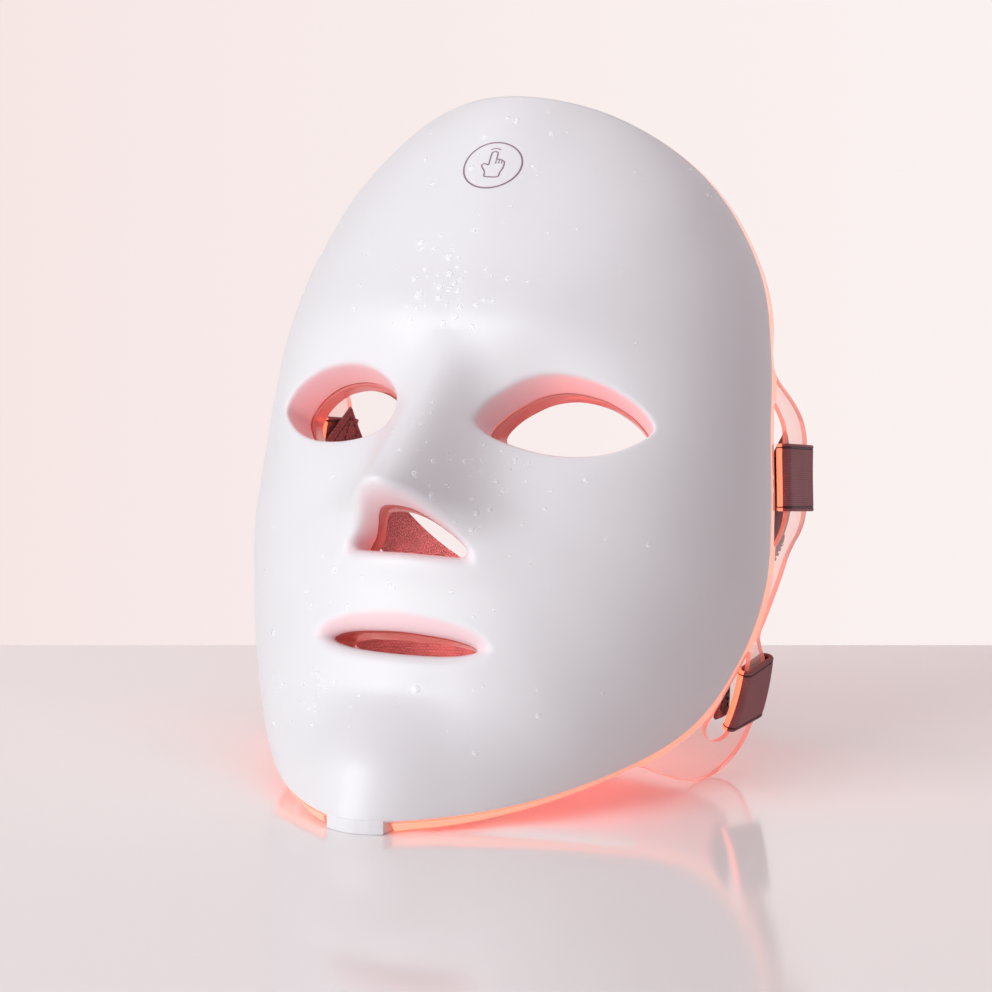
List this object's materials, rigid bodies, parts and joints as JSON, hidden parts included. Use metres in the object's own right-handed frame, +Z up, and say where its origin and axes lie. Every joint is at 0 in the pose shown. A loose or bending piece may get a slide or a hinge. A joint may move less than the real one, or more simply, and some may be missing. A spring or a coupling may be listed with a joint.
{
  "type": "led light therapy face mask",
  "caption": "Rigid face-shaped light therapy mask with eye, nose and mouth openings, a clear inner liner with strap ears, lamp boards inside and two elastic straps.",
  "frame": {"origin": "under the middle of the chin foot, on the plane the mask stands on", "axes": "+Z up, -Y the way the face looks, +X the wearer's left; the mask leans back on its chin foot and the two lower ears"},
  "size_m": [0.1644, 0.1738, 0.1997],
  "materials": {
    "shell_white": "pearl white semi-gloss",
    "liner_clear": "clear, tinted pale pink",
    "board_white": "white solder mask with lamp domes",
    "board_green": "green solder mask",
    "ribbon_amber": "satin film",
    "copper": "bare copper",
    "steel": "plated",
    "dark_plastic": "moulded",
    "cell_foil": "laminated pouch",
    "foam": "closed-cell foam",
    "wire_red": "silicone insulation",
    "strap_woven": "woven elastic",
    "hook_tape": "hook tape"
  },
  "bodies": {
    "mask": {"front_shell": "shell_white", "inner_liner": "liner_clear", "led_board_forehead": "board_white", "led_board_cheek_left": "board_white", "led_board_cheek_right": "board_white", "led_board_chin": "board_white", "flex_brow_left": "ribbon_amber", "flex_brow_right": "ribbon_amber", "flex_jaw_left": "ribbon_amber", "flex_jaw_right": "ribbon_amber", "control_board": "board_green", "touch_electrode": "copper", "touch_lead": "wire_red", "battery_cell": "cell_foil", "battery_foam_pad": "foam", "battery_lead": "wire_red", "charge_board": "board_green", "charge_lead": "wire_red", "usb_c_shell": "steel", "usb_c_tongue": "dark_plastic", "screw_forehead_left": "steel", "screw_forehead_right": "steel", "screw_temple_left": "steel", "screw_temple_right": "steel", "screw_cheek_left": "steel", "screw_cheek_right": "steel", "screw_jaw_left": "steel", "screw_jaw_right": "steel", "upper_loop_left": "strap_woven", "upper_loop_right": "strap_woven", "lower_loop_left": "strap_woven", "lower_loop_right": "strap_woven"},
    "upper_strap": {"upper_strap": "strap_woven", "upper_hook_tape_left": "hook_tape", "upper_hook_tape_right": "hook_tape"},
    "lower_strap": {"lower_strap": "strap_woven", "lower_hook_tape_left": "hook_tape", "lower_hook_tape_right": "hook_tape"}
  },
  "joints": [
    {"name": "upper_strap_swing", "type": "hinge", "parent": "mask", "child": "upper_strap", "pos_m": [0, 0.12862, 0.08654], "axis": [1, 0, 0], "range_deg": [0, 70]},
    {"name": "lower_strap_swing", "type": "hinge", "parent": "mask", "child": "lower_strap", "pos_m": [0, 0.10846, 0.02736], "axis": [1, 0, 0], "range_deg": [0, 30]}
  ]
}
